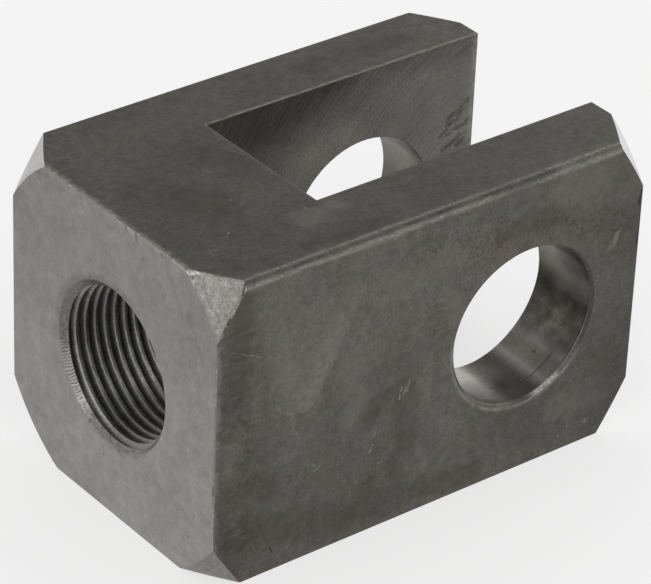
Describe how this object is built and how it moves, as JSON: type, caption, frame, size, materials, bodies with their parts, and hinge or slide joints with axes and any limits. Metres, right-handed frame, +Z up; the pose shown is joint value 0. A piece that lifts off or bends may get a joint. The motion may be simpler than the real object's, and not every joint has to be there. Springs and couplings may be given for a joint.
{
  "type": "rod clevis",
  "caption": "Square steel fork head with a tapped hole for a cylinder rod in one end and a slot with a cross bore for a pin in the other.",
  "frame": {"origin": "where the pin axis crosses the rod axis", "axes": "+X along the rod axis from the threaded end to the open fork, +Y along the pin axis, +Z up from the flat side that it rests on"},
  "size_m": [0.09, 0.058, 0.058],
  "materials": {
    "machined_steel": "bare machined steel, dull and lightly oiled, scuffed on its edges"
  },
  "bodies": {
    "root": {"clevis_body": "machined_steel"}
  },
  "joints": []
}
